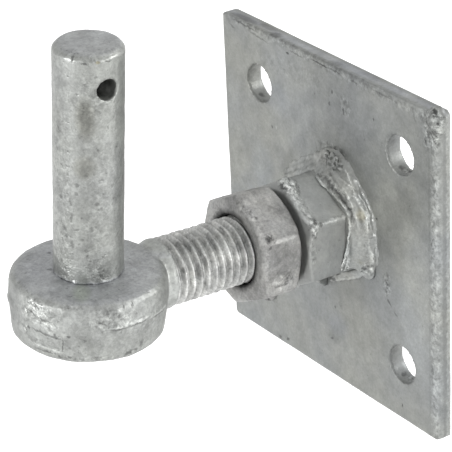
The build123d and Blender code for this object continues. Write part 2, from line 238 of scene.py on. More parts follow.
# Marks on the plate's face, by their place to the right and up
plate_marks = (
    (22.9, 9.9, 0.5, 0.5, 0, 0.35), (19.8, 1.5, 0.5, 0.5, 0, 0.30), (10.0, 22.6, 0.8, 0.6, 0, 0.21),
    (3.6, 24.2, 0.9, 0.5, 0, 0.21), (-0.6, 22.0, 0.8, 0.5, 20, 0.30), (27.0, -8.4, 0.7, 0.4, 0, 0.35),
    (27.3, -10.2, 0.6, 0.4, 0, 0.35), (28.1, -14.5, 1.8, 0.5, -50, 0.51),
    (31.0, -17.0, 1.2, 0.5, -30, 0.63), (-25.6, 21.2, 0.6, 0.7, 0, 0.41), (-23.6, 21.6, 0.5, 0.9, 0, 1.3),
    (-16.9, 46.9, 0.9, 0.4, -10, 0.21), (-1.7, 48.6, 5.0, 0.3, -2, 0.30), (3.7, 41.8, 0.5, 0.7, 0, 0.46),
    (2.4, 38.0, 0.6, 0.8, 0, 0.51), (9.8, 40.1, 1.0, 1.8, 12, 0.69), (8.9, 37.6, 0.5, 1.4, 12, 0.51),
    (22.3, 39.8, 0.5, 0.8, 0, 0.41), (44.5, 41.0, 0.4, 1.4, 20, 0.41), (45.6, 43.4, 0.4, 1.6, 0, 0.51),
    (-25.6, -48.6, 1.0, 0.7, 20, 0.46), (-21.5, -47.7, 1.2, 0.5, 30, 0.41),
    (33.4, -45.5, 0.4, 0.8, 0, 0.30), (33.0, -43.6, 0.3, 0.4, 0, 0.35), (46.7, 11.2, 0.5, 0.9, 0, 0.51),
    (47.0, -28.4, 0.7, 2.0, 0, 0.57), (0.9, -37.7, 0.9, 0.6, 30, 0.51), (2.7, -26.4, 0.5, 0.5, 0, 0.51),
    (5.2, -25.0, 1.4, 1.4, 0, 0.81), (3.0, -36.0, 5.0, 3.4, 40, 0.85), (35.8, 18.8, 6.0, 8.0, 0, 0.87),
    (30.0, 6.0, 7.0, 13.0, 0, 0.90), (12.0, 31.0, 8.0, 6.0, -20, 0.91),
    (-31.4, 6.6, 7.0, 9.0, 0, (0.97, 0.99, 1.03)), (-24.0, 31.0, 9.0, 6.0, 0, (0.98, 0.99, 1.03)),
    (4.0, -32.1, 6.0, 5.0, 20, (0.97, 0.98, 1.02)), (-16.0, 30.0, 10.0, 12.0, 0, 1.04),
    (21.1, 9.2, 0.6, 3.6, 12, (1.0, 0.94, 0.75)), (-9.0, 45.0, 16.0, 5.0, -3, 1.04),
    # (48.6, 0.0) is a painted highlight down the rolled right edge, with a thin line of painted shade beside it at
    # 45.9
    (-18.0, 13.0, 3.0, 6.0, -30, 0.82), (48.6, 0.0, 2.6, 90.0, 0, 1.27), (45.9, 2.0, 0.5, 80.0, 0, 0.9),
    # (30.0, 18.0) and (40.0, -10.0) are painted light, brightening the face to the right of the nuts
    (-12.0, 50.0, 26.0, 1.0, 0, 0.85), (30.0, 18.0, 16.0, 16.0, 0, 1.2), (40.0, -10.0, 9.0, 30.0, 0, 1.18),
    (48.2, 47.0, 3.4, 5.0, 0, 0.85), (-38.0, 49.2, 8.0, 0.4, -2, 0.5), (-31.0, 47.6, 6.0, 0.3, -5, 0.6),
    (-13.0, 48.0, 3.6, 0.35, -3, 0.55), (5.0, 48.6, 3.4, 0.35, -2, 0.5), (14.0, 48.2, 2.6, 0.3, 0, 0.6),
    (-22.0, 49.4, 4.0, 0.5, 0, 1.2), (26.0, 48.6, 6.0, 0.3, -1, 0.7), (-44.0, 47.0, 2.0, 0.4, -20, 0.6),
    (40.0, 46.4, 0.6, 2.0, 24, 0.75), (33.0, -30.0, 9.0, 9.0, 0, 1.04), (20.0, -25.0, 7.0, 5.0, 0, 1.03),
    (-40.0, 20.0, 3.0, 16.0, 0, 0.94),
)

# Streaks along the plate's sheared edges, with painted light on its top edge, and in the weld painted
# shade in the grooves and hollows, with specks and tints; its bright edges are painted highlights along
# the crests of its lines. Each is placed to the right, up and out
edge_streaks_and_top_light = (
    (-40.0, 50.0, 3.0, 8.0, 1.2, -2, 0.55), (-30.0, 50.0, 2.0, 5.0, 1.0, 0, 0.6),
    (-24.0, 50.0, 3.6, 3.0, 0.8, 0, 0.6), (-12.0, 50.0, 3.0, 5.0, 1.0, 0, 1.15),
    (4.0, 50.0, 3.4, 4.0, 1.0, 0, 0.75), (18.0, 50.0, 1.6, 7.0, 1.0, 0, 0.85),
    (30.0, 50.0, 3.0, 6.0, 1.2, 0, 1.1), (-46.0, 48.6, 4.0, 2.6, 1.6, 30, 0.7),
    # The last is painted light over the plate's top edge face, with a lilac tint
    (0.0, 50.6, 2.5, 90.0, 2.2, 0, (1.2, 1.2, 1.27)),
)
weld_shade_and_marks = (
    # The first five are painted shade in the grooves between the weld's ridges; (-5.0, 15.5) is painted shade over
    # the web in the corner
    (8.6, 15.7, 8.9, 5.0, 0.7, -26, 0.45), (12.9, 13.7, 8.9, 4.0, 0.7, -34, 0.45),
    (16.3, 9.9, 8.8, 4.0, 0.6, -62, 0.5), (17.6, 2.2, 7.2, 5.0, 0.5, 88, 0.62),
    (15.8, -4.0, 7.0, 3.4, 0.6, 72, 0.6), (6.0, 21.4, 7.0, 7.0, 4.0, 0, 0.94),
    (3.6, 22.4, 6.0, 1.2, 0.8, 0, 0.45), (0.6, 21.2, 5.8, 1.4, 0.8, 0, 0.5),
    (9.2, 21.6, 6.4, 1.0, 0.7, 0, 0.45), (6.4, 18.4, 8.0, 1.0, 0.6, 0, 0.6),
    (-5.0, 15.5, 6.0, 7.0, 3.5, 30, 0.85), (19.6, -6.4, 6.8, 0.9, 0.7, 0, 0.45),
    (18.2, -4.0, 7.2, 1.9, 1.6, 0, (0.6, 0.58, 0.48)), (18.4, -0.6, 7.2, 0.7, 0.6, 0, 0.45),
    (19.4, -3.4, 6.8, 0.7, 0.6, 0, 0.5), (18.2, 9.8, 6.8, 2.4, 1.6, -60, (1.0, 0.95, 0.82)),
    (3.0, -17.2, 5.4, 1.6, 0.9, 20, 0.4),
)

# Marks in each fixing hole: angle round it, radius, depth, half size and shade. The first, broad one
# is painted shade over the hole's walls and rim; the others are darker spots in the wall
hole_shade_and_spots = ((0, 0, 0.5, 9.0, 0.86), (-115, hole_radius, 2.6, 1.1, 0.5), (165, hole_radius, 3.0, 1.4, 0.8))

# Marks on the nuts and the thread: angle round the screw, distance along it and radius come first
weld_nut_marks = (
    (86, 20.4, 16.4, 2.4, 3.2, 0, 1.6), (70, 20.9, 15.2, 1.2, 4.0, 0, 1.45),
    # (60, 13.0) is painted light on the weld nut's upper flat
    (60, 13.0, 15.0, 14.0, 14.0, 0, 1.6), (2, 13.0, 15.0, 12.0, 10.0, 0, 1.05),
    (90, 14.0, 17.0, 6.0, 1.6, 0, 0.85), (29, 18.6, 17.2, 0.9, 0.9, 0, 0.4),
    # (30, 13.0) is a painted highlight on the edge between two flats
    (31, 20.4, 17.0, 0.6, 0.6, 0, 0.4), (30, 13.0, 17.2, 7.0, 0.8, 0, 1.3),
    (88, 19.4, 17.4, 0.6, 0.6, 0, 0.4), (80, 21.8, 15.6, 0.5, 0.7, 0, 0.4),
    (72, 19.0, 15.2, 1.2, 0.9, 0, 0.7), (57, 9.0, 15.0, 0.8, 0.8, 0, 0.8),
)
lock_nut_marks = (
    (30.0, 36.0, 16.5, 1.2, 1.9, 0, 0.5), (22.0, 36.4, 16.4, 0.6, 0.9, 0, 0.4),
    # (26, 32.0) is a painted highlight on an edge of the lock nut, and (60, 31.0) painted light on its upper flat
    (26, 32.0, 17.0, 5.4, 1.0, 0, 1.5), (60, 31.0, 15.0, 10.0, 12.0, 20, 1.34),
    (46, 34.0, 15.2, 2.0, 2.4, 0, 0.84), (70, 29.0, 15.4, 1.6, 3.0, 30, 1.15),
    # (-4, 31.0) is painted shade on a lower flat
    (-4, 31.0, 15.2, 7.0, 8.0, 0, 0.78), (-18, 33.0, 15.5, 2.6, 2.4, 0, 1.2),
    (75, 37.4, 13.0, 0.9, 4.0, 0, 1.3), (-52, 32.8, 16.6, 0.9, 0.6, 0, 0.35),
    (84, 30.0, 16.0, 4.0, 2.0, 0, 0.9), (12, 37.0, 15.0, 1.0, 3.0, 0, 1.2),
    (100, 37.0, 15.0, 1.4, 4.0, 0, 0.8), (56, 36.6, 14.6, 1.0, 3.0, 0, 0.85),
    # (-28, 30.0) is a painted highlight on an edge
    (8, 28.0, 15.2, 1.6, 1.2, 0, 0.85), (-28, 30.0, 17.0, 4.0, 0.9, 0, 1.3),
    (-20, 37.2, 14.6, 1.0, 3.0, 0, 0.85),
)
thread_marks = (
    (12.2, 55.8, 9.7, 1.6, 3.0, 0, 0.5), (20.0, 53.5, 9.7, 0.9, 2.6, 0, 0.5),
    (24.0, 60.5, 9.7, 1.2, 1.4, 0, 0.6), (34.0, 47.0, 9.7, 3.0, 3.0, 0, 1.25),
    (10.0, 58.5, 9.7, 1.6, 5.0, 0, 1.3), (44.0, 57.0, 9.7, 3.0, 2.4, 0, 1.2),
    (0.0, 48.0, 9.7, 4.0, 3.0, 0, 0.8), (40.0, 41.0, 9.7, 3.0, 5.0, 0, 0.7),
    (-20.0, 52.0, 9.7, 5.0, 3.0, 0, 0.85), (62.0, 50.0, 9.7, 4.0, 4.0, 0, 0.9),
    (14.0, 43.0, 9.7, 2.4, 1.8, 0, 1.25),
)

# Patches of rough flecks, laid out as the marks in the same place are, but ending with a strength.
# On the pin and the eye they are their hammered and rippled patches
plate_flecks = (
    (48.6, 47.6, 5.0, 6.6, 8.0, 0, 1.0), (27.2, -9.0, 5.0, 2.2, 4.4, 0, 1.0),
    (3.6, 24.0, 5.0, 8.0, 2.6, 0, 0.7), (48.4, 0.0, 5.0, 3.0, 90.0, 0, 0.5),
    (0.0, 49.0, 5.0, 90.0, 2.0, -1, 0.45), (45.2, 41.0, 5.0, 1.6, 5.0, 0, 0.5),
    (49.8, 0.0, 1.6, 2.4, 90.0, 0, 0.35), (34.0, 26.4, 2.2, 4.0, 4.0, 0, 1.0),
    (34.0, -39.0, 2.2, 4.0, 4.0, 0, 1.0), (9.6, 39.4, 5.0, 3.4, 4.0, 12, 0.5),
    (-14.0, 42.0, 5.0, 26.0, 4.0, 0, 0.18),
)
weld_flecks = (
    (5.0, 22.4, 7.4, 8.0, 3.6, 0, 0.7), (20.6, -6.4, 6.4, 4.0, 3.0, 0, 0.9),
    (18.6, 1.0, 6.6, 3.0, 12.0, 0, 0.7), (8.0, 16.5, 9.6, 9.0, 3.0, -20, 0.6),
)
weld_nut_flecks = (
    (82, 20.6, 16.0, 4.0, 5.0, 0, 1.0), (60, 21.0, 15.4, 2.4, 9.0, 0, 0.6),
    (28, 20.6, 16.6, 2.2, 4.0, 0, 0.9), (4, 21.2, 15.4, 1.6, 9.0, 0, 0.5),
    (30, 13.0, 17.0, 8.0, 1.2, 0, 0.4),
)
lock_nut_flecks = (
    (-22, 31.0, 15.6, 5.0, 3.6, 0, 0.8), (72, 37.0, 14.6, 1.6, 6.0, 0, 0.6),
    (30, 35.6, 16.6, 2.4, 1.8, 0, 0.8), (8, 37.0, 15.0, 1.4, 8.0, 0, 0.4),
    (50, 36.6, 14.8, 1.4, 6.0, 0, 0.4),
)
pin_flecks = (
    (40.0, 12.0, 16.0, 7.0, 0, 0.12), (6.0, 30.0, 6.0, 46.0, 0, 0.3), (72.0, 26.0, 5.0, 40.0, 0, 0.25),
    (50.0, 74.0, 16.0, 3.0, 0, 0.3), (58.0, 62.0, 5.0, 9.0, 0, 0.35),
)
eye_flecks = (
    (19.0, 3.6, 9.0, 5.6, -16, 0.6), (74.0, 4.0, 9.0, 4.4, 0, 0.6), (24.0, -6.0, 9.0, 3.0, 0, 0.4),
    (60.0, -8.0, 30.0, 1.4, 0, 0.6), (100.0, 0.6, 14.0, 3.0, 0, 0.35), (50.0, 8.0, 30.0, 2.0, 0, 0.45),
)

# How deep the marks reach under each surface, in millimetres, and how far bands reach across the
# screw, in metres
hook_mark_depth = 2.5
top_mark_depth = 0.9
face_mark_depth = 1.5
weld_mark_depth = 1.6
nut_mark_depth = 2.0
band_reach = 70 * mm

# Zinc: how fine its patterns are, in waves per metre, and how they shade it
cloud_waves = 170
crystal_waves = 620.0
grain_waves = 1300
outline_waves = 900
speck_waves = 760
fleck_waves = 720
gloss_waves = 260
lump_waves = 420
pit_waves = 1800
speck_shade = 0.7
# How dark the painted shade inside the pin's cross hole is
painted_cross_hole_darkness = 0.06
fleck_shades = ((0.36, 0.3), (0.46, 0.85), (0.54, 1.0), (0.66, 1.7))
mark_softness = 0.5
outline_wander = 1.3 * mm
dent_depth = 0.25 * mm

# Camera, as the photograph was taken
picture_width = 452
focal_pixels = 2411.13
sensor_width = 36.0
camera_place = Vector((0.3729, 0.4968, 0.3097))
camera_right = Vector((-0.8179, 0.5737, -0.0426))
camera_up = Vector((-0.2886, -0.3452, 0.8930))
nearest_seen = 0.05
farthest_seen = 20

# Studio, with each lamp's angle from X towards Y, elevation, size and power
floor_drop = 30 * mm
floor_width = 6
floor_grey = 0.8
floor_lift = 0.72
room_light = 0.7
lamp_target = Vector((0.05, 0, 0))
lamp_distance = 0.8
lamps = (
    ("left_box", -2, 10, 0.22, 3.3),
    ("right_box", 104, 10, 0.22, 2.1),
    ("rim_box", 146, 24, 0.2, 3.2),
)


# Working helpers

def add_object(name, data):
    """A new object in the scene."""
    thing = bpy.data.objects.new(name, data)
    bpy.context.scene.collection.objects.link(thing)
    return thing


def select_only(piece):
    """Makes one object the only one selected, and the active one."""
    bpy.ops.object.select_all(action="DESELECT")
    piece.select_set(True)
    bpy.context.view_layer.objects.active = piece


def apply_modifier(piece, kind, **settings):
    """Adds a modifier to a piece and applies it."""
    select_only(piece)
    modifier = piece.modifiers.new(kind.title(), kind)
    for setting, value in settings.items():
        setattr(modifier, setting, value)
    bpy.ops.object.modifier_apply(modifier=modifier.name)


def merge_points(piece):
    """Merges the points that lie on one another, so that the faces join into a closed skin."""
    select_only(piece)
    bpy.ops.object.mode_set(mode="EDIT")
    bpy.ops.mesh.select_all(action="SELECT")
    bpy.ops.mesh.remove_doubles(threshold=merge_reach)
    bpy.ops.object.mode_set(mode="OBJECT")


def copy_solid(node, name):
    """A joined-up copy of a solid of the frame, to be worked over as a new piece."""
    piece = add_object(name, frame["nodes"][node].data.copy())
    merge_points(piece)
    return piece


def cut(place, direction, **cleared):
    """Cuts the mesh that is being edited with a plane, and closes the cut."""
    bpy.ops.mesh.select_all(action="SELECT")
    bpy.ops.mesh.bisect(plane_co=place, plane_no=direction, use_fill=True, **cleared)


def add_drops(piece, drops):
    """Sets drops of zinc into a piece. Each has its place, its half sizes and its turn."""
    select_only(piece)
    bpy.ops.object.mode_set(mode="EDIT")
    for place, sizes, turn in drops:
        bpy.ops.mesh.select_all(action="DESELECT")
        bpy.ops.mesh.primitive_ico_sphere_add(subdivisions=2, radius=1, location=place, rotation=turn,
                                              scale=sizes)
    bpy.ops.object.mode_set(mode="OBJECT")


def roughen(piece, name, size, height, middle=0.5):
    """Moves a piece's skin in and out by cloudy noise with lumps of about the given size. A middle
    over a half leaves more of it in than out."""
    texture = bpy.data.textures.new(name, "CLOUDS")
    texture.noise_scale = size
    texture.noise_depth = 2
    apply_modifier(piece, "DISPLACE", texture=texture, texture_coords="LOCAL", strength=height,
                   mid_level=middle)


def dip(piece, step, lumps, softening):
    """Covers a piece in zinc: an even skin of small faces, eased by rounds of smoothing, and lumps,
    each with its size and its height in millimetres."""
    apply_modifier(piece, "REMESH", mode="VOXEL", voxel_size=step)
    apply_modifier(piece, "SMOOTH", factor=0.5, iterations=softening)
    for size, height in lumps:
        roughen(piece, piece.name + "_lumps", size * mm, height * mm)
    select_only(piece)
    bpy.ops.object.shade_smooth()


def dipped(node, name, drops, step, lumps, softening):
    """A solid of the frame with drops set into it, dipped."""
    piece = copy_solid(node, name)
    add_drops(piece, drops)
    dip(piece, step, lumps, softening)
    return piece


def seat(piece, finish, body, slot, *nodes):
    """Gives a piece its finish, and lets it ride on a body in place of the solids it stands for."""
    piece.data.materials.clear()
    piece.data.materials.append(finish)
    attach(piece, body)
    if nodes:
        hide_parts(*nodes)


# Places on the object, and what lies flat on them

def turned(first, second, third):
    """The turn of something whose own X, Y and Z lie along three directions."""
    return Matrix((first, second, third)).transposed()


top_turn = turned(screw_direction, hook_right, pin_up)
face_turn = turned((0, 1, 0), (0, 0, 1), (1, 0, 0))


def round_pin(angle, height, radius):
    """A place on the pin or the eye, in metres, and the turn of what lies flat on it there."""
    angle = radians(angle)
    outward = screw_direction * cos(angle) + hook_right * sin(angle)
    place = eye_centre + outward * radius * mm + pin_up * height * mm
    return place, turned(outward.cross(pin_up) * -1, pin_up, outward).to_euler()


def round_screw(angle, distance, radius):
    """A place on a nut, in metres, and the turn of what lies flat on it there."""
    angle = radians(angle)
    right = Vector((0, 1, 0))
    up = screw_direction.cross(right)
    outward = right * cos(angle) + up * sin(angle)
    place = screw_direction * distance * mm + outward * radius * mm
    return place, turned(screw_direction, outward.cross(screw_direction), outward).to_euler()


# Drops, each with its place, its half sizes and its turn

def face_drops(places):
    """Round drops on the plate or the weld, flattened a little."""
    return [(Vector((out, right, up)) * mm, (0.7 * size * mm, size * mm, size * mm), (0, 0, 0))
            for right, up, out, size in places]


def nut_drops(places):
    """Flattened drops on a nut, drawn out round the screw."""
    drops = []
    for angle, distance, radius, size in places:
        place, turn = round_screw(angle, distance, radius)
        drops.append((place, (size * mm, 1.3 * size * mm, 0.7 * size * mm), turn))
    return drops


def hook_drops(places):
    """Drops on the pin and the eye, with three half sizes of their own."""
    drops = []
    for angle, radius, height, half_round, half_up, half_out in places:
        place, turn = round_pin(angle, height, radius)
        drops.append((place, (half_round * mm, half_up * mm, half_out * mm), turn))
    return drops


def line_of_drops(thickness, points):
    """Drops that run into one another along a line, swelling and thinning a little on their way."""
    row = []
    for near, far in zip(points, points[1:]):
        run = Vector(far) - Vector(near)
        count = max(1, round(run.length / (1.2 * thickness)))
        turn = (atan2(run.y, run.x), 0, 0)
        for step in range(count):
            right, up, out = Vector(near) + run * step / count
            swelling = 1 + 0.16 * sin(2.3 * len(row)) + 0.1 * sin(5.1 * len(row))
            size = thickness * mm * swelling
            row.append((Vector((out, right, up)) * mm, (size, 1.5 * size, size), turn))
    return row


def crust(right, up, out, spread, count):
    """Small drops crowded round a place, wound out from it in a spiral."""
    places = []
    for step in range(count):
        reach = spread * (step / count) ** 0.5
        angle = spiral_turn * step + 1
        size = 0.65 + 0.2 * (step % 3)
        places.append((right + reach * cos(angle), up + reach * sin(angle), out, size))
    return face_drops(places)


def hole_lips():
    """A raised lip of zinc round each fixing hole."""
    drops = []
    for right, up in fixing_holes:
        ring = [(right + lip_radius * cos(radians(angle)), up + lip_radius * sin(radians(angle)), lip_height)
                for angle in range(0, 361, 15)]
        drops += line_of_drops(lip_thickness, ring)
    return drops


# Marks, each with its place, its turn, its half sizes and its shade or strength; some are painted shade or painted
# highlights

def mark(place, flat, tilt, sizes, shade):
    """An oval mark with half sizes in millimetres, tilted on the surface that it lies flat on."""
    turn = flat @ Matrix.Rotation(radians(tilt), 3, "Z")
    return place, turn.to_euler(), tuple(size * mm for size in sizes), shade


def round_marks(marks, radius):
    """Marks round the pin's axis, at a radius."""
    laid = []
    for angle, height, half_width, half_height, tilt, shade in marks:
        place, turn = round_pin(angle, height, radius)
        laid.append(mark(place, turn.to_matrix(), tilt, (half_width, half_height, hook_mark_depth), shade))
    return laid


def level_marks(marks):
    """Marks on the level tops of the pin and the eye."""
    laid = []
    for out, right, height, half_out, half_right, tilt, shade in marks:
        place = eye_centre + (screw_direction * out + hook_right * right + pin_up * height) * mm
        laid.append(mark(place, top_turn, tilt, (half_out, half_right, top_mark_depth), shade))
    return laid


def face_marks(marks):
    """Marks on the plate's face."""
    return [mark(Vector((plate_face, right, up)) * mm, face_turn, tilt,
                 (half_width, half_height, face_mark_depth), shade)
            for right, up, half_width, half_height, tilt, shade in marks]


def proud_marks(marks):
    """Marks on the weld and the plate that say how far out they lie too."""
    return [mark(Vector((out, right, up)) * mm, face_turn, tilt,
                 (half_length, half_width, weld_mark_depth), shade)
            for right, up, out, half_length, half_width, tilt, shade in marks]


def crest_highlights():
    """Painted highlights along the crests of the lines of filler in the weld, one oval on each straight stretch.
    """
    laid = []
    for thickness, shade, points in weld_lines:
        if shade == 1:
            continue
        for near, far in zip(points, points[1:]):
            run = Vector(far) - Vector(near)
            right, up, out = (Vector(near) + Vector(far)) / 2
            tilt = atan2(run.y, run.x) * 180 / pi
            crest = (right, up, out + thickness, 1.3 * run.length, 0.8 * thickness, tilt, shade)
            laid += proud_marks([crest])
    return laid


def hole_wall_shade_and_spots():
    """Painted shade over the fixing holes' walls and rims, and darker spots in the walls."""
    laid = []
    for right, up in fixing_holes:
        for angle, radius, depth, size, shade in hole_shade_and_spots:
            angle = radians(angle)
            place = Vector((depth, right + radius * cos(angle), up + radius * sin(angle)))
            laid.append((place * mm, (0, 0, 0), (size * mm, size * mm, size * mm), shade))
    return laid


def shear_mark():
    """The dull line along the plate's right side, where the shears let go."""
    place = Vector((3.0, plate_side, 0)) * mm
    return [(place, (0, 0, 0), (0.9 * mm, 3 * mm, 90 * mm), 0.74)]


def nut_marks(marks):
    """Marks on the nuts and the thread."""
    laid = []
    for angle, distance, radius, half_along, half_round, tilt, shade in marks:
        place, turn = round_screw(angle, distance, radius)
        laid.append(mark(place, turn.to_matrix(), tilt, (half_along, half_round, nut_mark_depth), shade))
    return laid


def painted_light_band(distance, half_width, shade):
    """A band right across the screw: painted shade in the slit between the nuts, and a painted highlight on the
    bright neck.
    """
    right = Vector((0, 1, 0))
    turn = turned(screw_direction, right, screw_direction.cross(right)).to_euler()
    return [(screw_direction * distance * mm, turn, (half_width * mm, band_reach, band_reach), shade)]


def painted_cross_hole_shade():
    """Painted shade in the pin's cross hole."""
    place = eye_centre + pin_up * cross_hole_height * mm
    return [(place, top_turn.to_euler(), (4.6 * mm, 9.3 * mm, 4.6 * mm), painted_cross_hole_darkness)]


# Finishes

class Finish:
    """A material in the making. Its methods add nodes, join them up and give back their outputs."""

    def __init__(self, name):
        self.material = bpy.data.materials.new(name)
        self.material.use_nodes = True
        self.tree = self.material.node_tree
        self.link = self.tree.links.new
        self.shader = self.tree.nodes["Principled BSDF"]
        self.where = self.add("ShaderNodeTexCoord").outputs["Object"]

    def add(self, kind, **settings):
        """Adds a node. A setting is one of its properties or else the value of an input."""
        node = self.tree.nodes.new(kind)
        for setting, value in settings.items():
            if hasattr(node, setting):
                setattr(node, setting, value)
            else:
                node.inputs[setting.replace("_", " ").title()].default_value = value
        return node

    def noise(self, waves, detail=3.0, roughness=0.55, output="Fac"):
        """Noise over the surface."""
        node = self.add("ShaderNodeTexNoise", scale=waves, detail=detail, roughness=roughness)
        self.link(self.where, node.inputs["Vector"])
        return node.outputs[output]

    def ramp(self, source, stops):
        """A colour ramp on a value. Each stop is a place and a grey or a colour."""
        node = self.add("ShaderNodeValToRGB")
        elements = node.color_ramp.elements
        while len(elements) < len(stops):
            elements.new(0.5)
        for element, (place, colour) in zip(elements, stops):
            element.position = place
            element.color = (*colour, 1) if isinstance(colour, tuple) else (colour, colour, colour, 1)
        self.link(source, node.inputs["Fac"])
        return node.outputs["Color"]

    def multiply(self, first, second, factor=1.0):
        """Multiplies two colours, which are the mix node's inputs 6 and 7, by a number or a socket."""
        node = self.add("ShaderNodeMix", data_type="RGBA", blend_type="MULTIPLY")
        if isinstance(factor, float):
            node.inputs[0].default_value = factor
        else:
            self.link(factor, node.inputs[0])
        for socket, value in ((node.inputs[6], first), (node.inputs[7], second)):
            if isinstance(value, tuple):
                socket.default_value = (*value, 1)
            else:
                self.link(value, socket)
        return node.outputs[2]

    def inside(self, where, place, turn, sizes):
        """How far inside an oval mark a point of the surface lies: 0 outside it, 1 in its middle."""
        fit = self.add("ShaderNodeMapping", vector_type="TEXTURE")
        for name, value in (("Location", place), ("Rotation", turn), ("Scale", sizes)):
            fit.inputs[name].default_value = value
        self.link(where, fit.inputs["Vector"])
        fall = self.add("ShaderNodeTexGradient", gradient_type="SPHERICAL")
        self.link(fit.outputs["Vector"], fall.inputs["Vector"])
        inside = self.add("ShaderNodeMapRange", from_min=0.0, from_max=mark_softness)
        self.link(fall.outputs["Fac"], inside.inputs["Value"])
        return inside.outputs["Result"]

    def bump(self, height, distance, strength=1.0, under=None):
        """A relief, laid over another one where that is given."""
        node = self.add("ShaderNodeBump", strength=strength, distance=distance)
        self.link(height, node.inputs["Height"])
        if under:
            self.link(under, node.inputs["Normal"])
        return node.outputs["Normal"]


def zinc_tint(finish, cool, warm, patch, spangle, mottle, grains):
    """The zinc's own colour: two tints in soft patches, clouds, faint crystals and grain."""
    tint = finish.ramp(finish.noise(1000 / patch), ((0.36, cool), (0.64, warm)))
    clouds = finish.ramp(finish.noise(cloud_waves, detail=5.0, roughness=0.62),
                         ((0.32, mottle[0]), (0.68, mottle[1])))
    tint = finish.multiply(tint, clouds)
    crystals = finish.add("ShaderNodeTexVoronoi", scale=crystal_waves)
    finish.link(finish.where, crystals.inputs["Vector"])
    cells = finish.ramp(crystals.outputs["Color"], ((0.0, 1.0 - spangle), (1.0, 1.0 + spangle)))
    tint = finish.multiply(tint, cells)
    grain = finish.ramp(finish.noise(grain_waves, roughness=0.7),
                        ((0.3, grains[0]), (0.7, grains[1])))
    return finish.multiply(tint, grain)


def wandering(finish):
    """Coordinates that wander by a fraction of a millimetre, so that marks have ragged outlines."""
    wander = finish.add("ShaderNodeVectorMath", operation="MULTIPLY_ADD")
    finish.link(finish.noise(outline_waves, detail=2.0, roughness=0.6, output="Color"), wander.inputs[0])
    wander.inputs[1].default_value = (outline_wander, outline_wander, outline_wander)
    finish.link(finish.where, wander.inputs[2])
    settle = finish.add("ShaderNodeVectorMath", operation="SUBTRACT")
    finish.link(wander.outputs["Vector"], settle.inputs[0])
    settle.inputs[1].default_value = (outline_wander / 2, outline_wander / 2, outline_wander / 2)
    return settle.outputs["Vector"]


def zinc_shade(finish, specks, marks, flecked, shade_rings_round_screw):
    """What lies on the zinc: dark specks, marks, some of them painted shade and highlights, patches of flecks, and
    rings of painted shade round the screw.
    """
    ragged = wandering(finish)
    shade = finish.ramp(finish.noise(speck_waves, detail=1.0, roughness=0.5),
                        ((specks, 1.0), (specks + 0.1, speck_shade)))
    for place, turn, sizes, own_shade in marks:
        if not isinstance(own_shade, tuple):
            own_shade = (own_shade, own_shade, own_shade)
        shade = finish.multiply(shade, own_shade, finish.inside(ragged, place, turn, sizes))
    flecks = finish.ramp(finish.noise(fleck_waves, detail=2.0, roughness=0.65), fleck_shades)
    for place, turn, sizes, strength in flecked:
        share = finish.add("ShaderNodeMath", operation="MULTIPLY")
        finish.link(finish.inside(ragged, place, turn, sizes), share.inputs[0])
        share.inputs[1].default_value = strength
        shade = finish.multiply(shade, flecks, share.outputs[0])
    for nearest, farthest, inner, outer in shade_rings_round_screw:
        off_axis = finish.add("ShaderNodeVectorMath", operation="CROSS_PRODUCT")
        finish.link(ragged, off_axis.inputs[0])
        off_axis.inputs[1].default_value = screw_direction
        radius = finish.add("ShaderNodeVectorMath", operation="LENGTH")
        finish.link(off_axis.outputs["Vector"], radius.inputs[0])
        way = finish.add("ShaderNodeMapRange", from_min=nearest * mm, from_max=farthest * mm)
        finish.link(radius.outputs["Value"], way.inputs["Value"])
        shade = finish.multiply(shade, finish.ramp(way.outputs["Result"], ((0.0, inner), (1.0, outer))))
    return shade


def zinc(name, cool, warm, patch=22, spangle=0.1, specks=0.7, rough=(0.4, 0.56), relief=0.1, metal=0.5,
         edge=0.9, mottle=(0.88, 1.1), grains=(0.82, 1.17), marks=(), flecked=(), shade_rings_round_screw=()):
    """Hot-dip zinc, with its marks, among them painted shade and painted highlights, its changing gloss and its
    fine relief.
    """
    finish = Finish(name)
    tint = zinc_tint(finish, cool, warm, patch, spangle, mottle, grains)
    shade = zinc_shade(finish, specks, marks, flecked, shade_rings_round_screw)
    shader = finish.shader
    finish.link(finish.multiply(tint, shade), shader.inputs["Base Color"])
    gloss = finish.add("ShaderNodeMapRange", to_min=rough[0], to_max=rough[1], from_min=0.3, from_max=0.7)
    finish.link(finish.noise(gloss_waves, detail=4.0), gloss.inputs["Value"])
    finish.link(gloss.outputs["Result"], shader.inputs["Roughness"])
    lumps = finish.bump(finish.noise(lump_waves), relief * mm)
    pits = finish.bump(finish.noise(pit_waves, detail=2.0), relief * mm / 4, under=lumps)
    dents = finish.bump(shade, dent_depth, strength=0.6, under=pits)
    finish.link(dents, shader.inputs["Normal"])
    shader.inputs["Metallic"].default_value = metal
    shader.inputs["Specular Tint"].default_value = (edge, edge, edge, 1)
    return finish.material


# Pieces made in their own way

